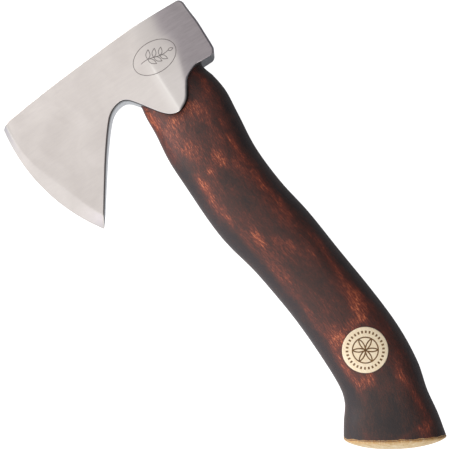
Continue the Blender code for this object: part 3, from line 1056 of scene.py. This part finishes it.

# Painted shade: the glow fades out along the rear edge, the side away from the light, so the wood is painted
# darker there.  Past the neck it fades out along the front edge too.
embers_and_shade = -0.85 * ease((share_across - 0.57) / 0.35)
embers_and_shade -= 0.85 * ease((-share_across - 0.58) / 0.26) * ease((along - 62) / 12)
for sign, spots in ((1, GLOWING), (-1, DARK)):
    for x, y, long, broad, strength in spots:
        embers_and_shade += sign * strength * np.exp(-((at[:, 0] - x) / long) ** 2 - ((at[:, 1] - y) / broad) ** 2)
paint(handle, "embers_and_shade", np.minimum(embers_and_shade, 1.3) * ease((at[:, 2] + 2) / 6))
paint(handle, "butt", (at[:, :2] - middle[-1]) @ butt_out)
paint(handle, "sawn", ease((TENON_X + 1 - at[:, 0]) / 0.5))

# %% [markdown]
# Two layers make the stain.  The *ground* goes from nearly black, through deep red, to
# chestnut, as the glow gets hotter, and stays nearly black under the painted shade of the
# rear edge.  The *sparks* are single fibres, bright only where an ember and a pale fibre
# meet, which is why the two are multiplied.

# %% Ground and sparks
birch = Finish("stained_curly_birch", 0.42)
birch.shader.inputs["Specular IOR Level"].default_value = 0.62
fibre = birch.noise(birch.painted_place("grain", (0.36, 2.0, 2.0)), 5, 0.65, 0.2)
fine = birch.noise(birch.painted_place("grain", (1.2, 5.0, 5.0)), 3, 0.7)
curl = birch.noise(birch.painted_place("grain", (0.075, 0.16, 0.16)), 4, 0.6, 0.35)

heat = birch.total(-0.65, (curl, 1.4), (birch.painted("embers_and_shade"), 0.75))
streaks = birch.total(-6.1, (fibre, 9.0), (fine, 3.6))
ground = birch.ramp(birch.total(-0.20, (streaks, 0.12), (heat, 0.70), (fine, 1.2)),
                    (0.0, (0.012, 0.006, 0.007)), (0.28, (0.039, 0.014, 0.009)),
                    (0.55, (0.080, 0.016, 0.010)), (1.0, (0.165, 0.030, 0.014)))
ember = birch.math("MAXIMUM", birch.total(0.08, (heat, 0.8)), 0.0)
sparks = birch.ramp(birch.math("MULTIPLY", ember, streaks),
                    (0.06, (0.0, 0.0, 0.0)), (0.35, (0.10, 0.024, 0.010)),
                    (0.65, (0.29, 0.078, 0.028)), (1.0, (0.52, 0.185, 0.078)))
stained = birch.mix(1.0, ground, sparks, "ADD")
print("nodes in the stain:", len(birch.tree.nodes))

# %% [markdown]
# The domed butt was sanded after staining, so it is bare birch.  Its border wanders by about
# half a millimetre, with a dark reddish line of soaked stain on one side and golden specks on
# the other.  The end of the tenon was sawn off flush with the head, and shows dull end grain.

# %% Bare butt and sawn tenon
layers = birch.noise(birch.painted_place("grain", (0.12, 0.30, 1.5)), 3, 0.55, 0.4)
pores = birch.noise(birch.painted_place("grain", (0.9, 1.6, 1.6)), 3, 0.6)
bare = birch.ramp(birch.total(0.0, (layers, 0.65), (pores, 0.35)),
                  (0.34, (0.48, 0.31, 0.12)), (0.47, (0.66, 0.49, 0.25)), (0.66, (0.77, 0.65, 0.43)))

wander = birch.noise(birch.painted_place("grain", (0.3, 0.22, 0.22)), 3, 0.6)
rim = birch.total(0.0, (birch.painted("butt"), 1.0), (wander, 1.6))    # mm past the rim
bared = birch.ramp(birch.total(0.6375, (rim, 0.25)), (0.49, 0.0), (0.53, 1.0))
soaked = birch.ramp(birch.total(0.5, (rim, 0.25)), (0.38, 0.0), (0.50, 0.85), (0.60, 0.0))
specks = birch.math("MULTIPLY", birch.ramp(birch.math("MULTIPLY", rim, 0.25), (0.05, 1.0), (0.60, 0.0)),
                    birch.ramp(pores, (0.42, 0.15), (0.56, 1.0)))
bare = birch.mix(specks, bare, (0.52, 0.27, 0.075, 1))
wood = birch.mix(bared, stained, bare)
wood = birch.mix(soaked, wood, (0.10, 0.022, 0.010, 1))

years = birch.noise(birch.place((0.1, 0.5, 1.4)), 3, 0.6, 0.5)
end_grain = birch.ramp(years, (0.3, (0.20, 0.11, 0.05)), (0.7, (0.36, 0.22, 0.11)))
birch.colour(birch.mix(birch.painted("sawn"), wood, end_grain))
birch.feed(birch.shader.inputs["Roughness"], birch.total(0.34, (curl, 0.2)))
birch.bump(birch.total(0.0, (fibre, 1.0), (fine, 1.0)), 0.10)
birch.wear(handle)

# %% [markdown]
# ## Pale woods and burnt lines
#
# The badge is a plug of pale wood with the grain across the handle, sanded smooth.  Its
# rosette is burnt in with a hot wire, which leaves a brown line of uneven depth.  The wooden
# wedge is a plain riven sliver, rougher and browner.

# %% Badge, rosette and wooden wedge
two_tone(badge, "badge_wood", (0.5, 0.0), (0.25, 1.6, 1.6), (4, 0.6),
         (0.86, 0.70, 0.46), (0.94, 0.85, 0.66), 0.02)
two_tone(rosette, "burnt_line", (0.7, 0.0), (1.3, 1.3, 1.3), (3, 0.5),
         (0.10, 0.045, 0.012), (0.24, 0.13, 0.045))
two_tone(wooden, "riven_wood", (0.55, 0.0), (0.2, 0.4, 3.0), (4, 0.6),
         (0.42, 0.25, 0.11), (0.62, 0.42, 0.22), 0.04)

# %% [markdown]
# ## The studio
#
# Polished steel shows the room that it is in, so the room matters as much as the steel.  It
# is a white paper tent, open on the side of the poll: bright over the blade, dim behind the
# poll.  A tent that is the same all along X needs one ramp, over the angle round X.  To the
# camera the tent and the table are plain white, so nothing draws the eye from the tool.
#
# Real sheets and lamps could form the tent.  A world with one ramp does the same without
# noise in the picture, and each band of it can be tuned by itself.

# %% Table
TABLE_HALF = 3.0        # metres
TABLE_DROP = 0.0003
corners = np.array([(-1, -1, 0), (1, -1, 0), (1, 1, 0), (-1, 1, 0)]) * TABLE_HALF - (0, 0, TABLE_DROP)
sheet = bpy.data.meshes.new("table")
sheet.from_pydata(corners.tolist(), [], [(0, 1, 2, 3)])
table = add("table", sheet)

paper = Finish("white_paper", 0.7)
paper.shader.inputs["Base Color"].default_value = (0.45, 0.46, 0.48, 1)
paper.shader.inputs["Specular IOR Level"].default_value = 0.1
paper.shader.inputs["Emission Color"].default_value = (1, 1, 1, 1)
# Painted light: white to the camera, the table glows to other light, bright on the blade's side and faint on
# the poll's side, where the tool's shade falls.
towards_blade = paper.math("MULTIPLY_ADD", paper.y_of(paper.place()), -0.01, 0.5)
painted_table_glow = paper.ramp(towards_blade, (0.25, 0.02), (0.60, 0.5))
paper.feed(paper.shader.inputs["Emission Strength"], paper.math("MAXIMUM", paper.seen(), painted_table_glow))
paper.wear(table)

# %% Tent
TENT = [                # degrees round X from straight up, towards the cutting edge; then the colour
    (-90, (0.10, 0.105, 0.12)), (-40, (0.07, 0.072, 0.08)), (-22, (0.32, 0.30, 0.31)),
    (-9, (0.57, 0.54, 0.55)), (-3, (1.12, 1.10, 1.08)), (18, (0.90, 0.86, 0.84)), (42, (0.95, 0.92, 0.91)),
    (62, (1.22, 1.19, 1.15)), (78, (1.26, 1.20, 1.32)), (90, (1.35, 1.30, 1.58)),
]
world = bpy.data.worlds.new("tent")
bpy.context.scene.world = world
world.use_nodes = True
tent = Graph(world.node_tree)
across_x = tent.node("VectorMath", operation="MULTIPLY")
across_x.inputs[1].default_value = (0, 1, 1)
tent.feed(across_x.inputs[0], tent.node("TexCoord").outputs["Generated"])
unit = tent.node("VectorMath", operation="NORMALIZE")
tent.feed(unit.inputs[0], across_x.outputs["Vector"])
hoop = tent.ramp(tent.math("MULTIPLY_ADD", tent.y_of(unit.outputs["Vector"]), -0.5, 0.5),
                 *(((1 + math.sin(math.radians(angle))) / 2, colour) for angle, colour in TENT))
background = tent.tree.nodes["Background"]
tent.feed(background.inputs["Color"], tent.mix(tent.seen(), hoop, (1, 1, 1, 1)))
print("tent:", len(TENT), "bands")

# %% [markdown]
# Two soft lamps stand low, beside the tent.  They are too low to be mirrored in the flat
# cheeks, so they brighten the wood and leave the steel to the tent.

# %% Lamps
def softbox(name, place, target, size, watts):
    """A rectangular lamp at a place, turned to face a target; both in the maker's millimetres."""
    lamp = bpy.data.lights.new(name, "AREA")
    lamp.shape, lamp.size, lamp.size_y = "RECTANGLE", *size
    lamp.energy, lamp.color = watts, (1.0, 0.97, 0.94)
    stand = add(name, lamp)
    stand.location = to_scene(place)
    stand.rotation_euler = (Vector(to_scene(target)) - stand.location).to_track_quat("-Z", "Y").to_euler()
    print(f"{name}: {watts} W at", place)


softbox("toe_lamp", (-600, -480, 360), (100, 0, 0), (0.8, 0.6), 6.0)
softbox("butt_lamp", (760, -60, 240), (230, 5, 0), (0.6, 0.3), 0.8)

# %% [markdown]
# ## The camera
#
# The camera hangs straight above the tool and is turned, so that the handle runs down to the
# right.  The lens follows from the height and from how many millimetres fit across.

# %% Camera
CAMERA_HEIGHT, FIELD, SENSOR, TURN = 520.0, 226.0, 36.0, 58.0
camera = add("camera", bpy.data.cameras.new("camera"))
bpy.context.scene.camera = camera
camera.data.sensor_width = SENSOR
camera.data.lens = SENSOR * CAMERA_HEIGHT / FIELD
right = Vector((math.cos(math.radians(TURN)), math.sin(math.radians(TURN)), 0))
up = Vector((-right.y, right.x, 0))
axes = Matrix((right, up, (0, 0, 1))).transposed().to_4x4()
camera.matrix_world = Matrix.Translation(Vector(to_scene((107.7, -14.05, CAMERA_HEIGHT)))) @ axes
bpy.context.scene.view_settings.view_transform = "Standard"
print("lens:", round(camera.data.lens, 1), "mm")

# %% [markdown]
